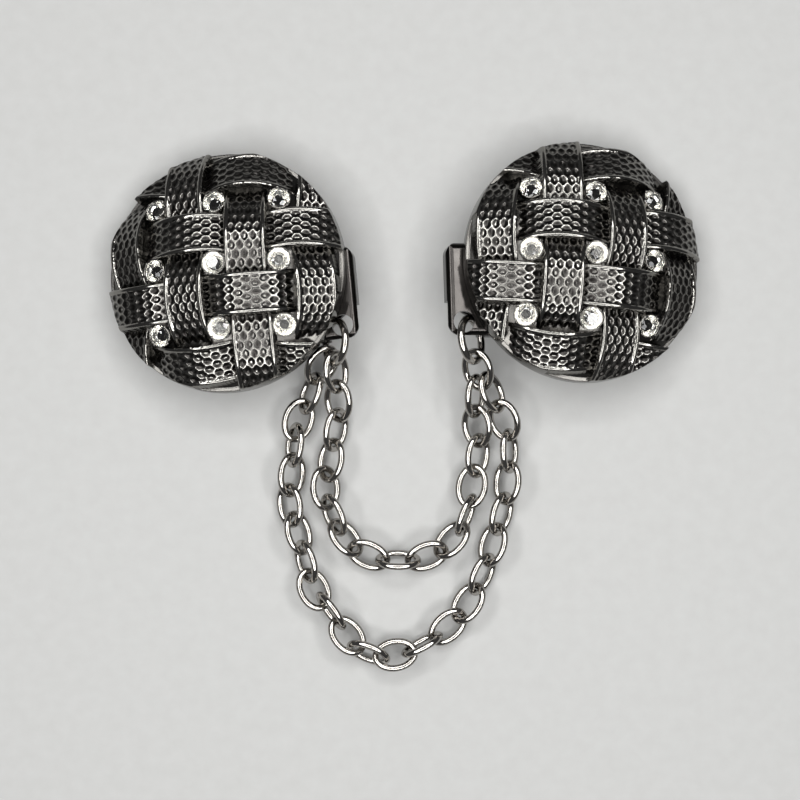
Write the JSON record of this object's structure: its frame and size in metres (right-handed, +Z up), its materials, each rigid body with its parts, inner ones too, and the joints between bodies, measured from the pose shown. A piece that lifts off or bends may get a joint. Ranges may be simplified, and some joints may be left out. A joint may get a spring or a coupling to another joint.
{
  "type": "sweater clip",
  "caption": "Sweater clip: round domed medallions with a basket weave and cut stones, each on a sprung clip, joined by a double strand of cable chain.",
  "frame": {"origin": "centre of the whole clip on the surface that it lies on", "axes": "+X from the left medallion to the right one, +Y from the chain's loop towards the medallions, +Z up"},
  "size_m": [0.0614, 0.055, 0.0102],
  "materials": {
    "plated_metal": "mirror-bright black nickel plating",
    "crystal": "clear foil-backed cut crystal",
    "clip_steel": "black nickel plated pressed steel"
  },
  "bodies": {
    "medallions": {"left_medallion": "plated_metal", "left_clip_base": "clip_steel", "left_hinge_pin": "clip_steel", "left_spring": "clip_steel", "left_jump_ring": "plated_metal", "right_medallion": "plated_metal", "right_clip_base": "clip_steel", "right_hinge_pin": "clip_steel", "right_spring": "clip_steel", "right_jump_ring": "plated_metal", "left_stone_1": "crystal", "left_stone_2": "crystal", "left_stone_3": "crystal", "left_stone_4": "crystal", "left_stone_5": "crystal", "left_stone_6": "crystal", "left_stone_7": "crystal", "left_stone_8": "crystal", "left_stone_9": "crystal", "right_stone_1": "crystal", "right_stone_2": "crystal", "right_stone_3": "crystal", "right_stone_4": "crystal", "right_stone_5": "crystal", "right_stone_6": "crystal", "right_stone_7": "crystal", "right_stone_8": "crystal", "right_stone_9": "crystal", "inner_chain": "plated_metal", "outer_chain": "plated_metal"},
    "left_clip_lever": {"left_lever": "clip_steel", "left_spring_leg": "clip_steel"},
    "right_clip_lever": {"right_lever": "clip_steel", "right_spring_leg": "clip_steel"}
  },
  "joints": [
    {"name": "left_lever_hinge", "type": "hinge", "parent": "medallions", "child": "left_clip_lever", "pos_m": [-0.0129, 0.01072, 0.00235], "axis": [0.0929, -0.9827, 0.16], "range_deg": [0, 20], "stiffness_Nm_per_rad": 0.0002, "springref_deg": -28.65},
    {"name": "right_lever_hinge", "type": "hinge", "parent": "medallions", "child": "right_clip_lever", "pos_m": [0.01212, 0.01191, 0.00277], "axis": [-0.0287, 0.9912, -0.1291], "range_deg": [0, 20], "stiffness_Nm_per_rad": 0.0002, "springref_deg": -28.65}
  ]
}
